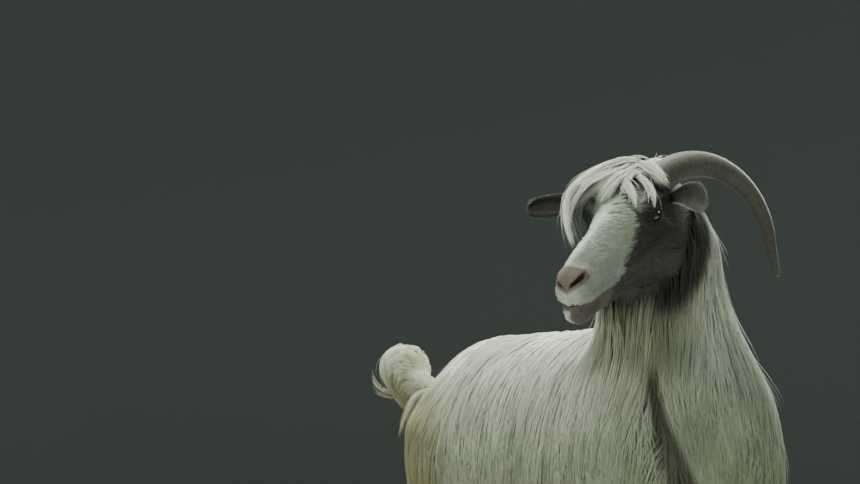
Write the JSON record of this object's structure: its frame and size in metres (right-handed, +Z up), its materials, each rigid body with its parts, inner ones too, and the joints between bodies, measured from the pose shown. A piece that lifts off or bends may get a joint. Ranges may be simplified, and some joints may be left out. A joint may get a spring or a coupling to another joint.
{
  "type": "goat",
  "caption": "Long-haired goat standing still with its head turned to its right, with swept-back horns, a shaggy coat and a tail raised in a round tuft.",
  "frame": {"origin": "on the floor, below the middle of the box round the whole animal", "axes": "+Z up; -Y the way the body faces, from tail to chest; +X to the animal's left. The head is turned towards -X"},
  "size_m": [0.5358, 1.0792, 0.9525],
  "materials": {
    "coat": "long silky hair, cream white with straw and brown stains",
    "dark_coat": "short hair, grey brown",
    "horn": "ridged horn, satin",
    "hoof": "dull horn",
    "eye": "wet gloss"
  },
  "bodies": {
    "root": {"claw_fore_left_inner": "hoof", "claw_fore_left_outer": "hoof", "claw_fore_right_inner": "hoof", "claw_fore_right_outer": "hoof", "claw_hind_left_inner": "hoof", "claw_hind_left_outer": "hoof", "claw_hind_right_inner": "hoof", "claw_hind_right_outer": "hoof", "ear_left": "dark_coat", "ear_right": "dark_coat", "eye_left": "eye", "eye_right": "eye", "head": "coat", "horn_left": "horn", "horn_right": "horn", "leg_fore_left": "coat", "leg_fore_right": "coat", "leg_hind_left": "coat", "leg_hind_right": "coat", "neck": "coat", "tail": "coat", "trunk": "coat"}
  },
  "joints": []
}
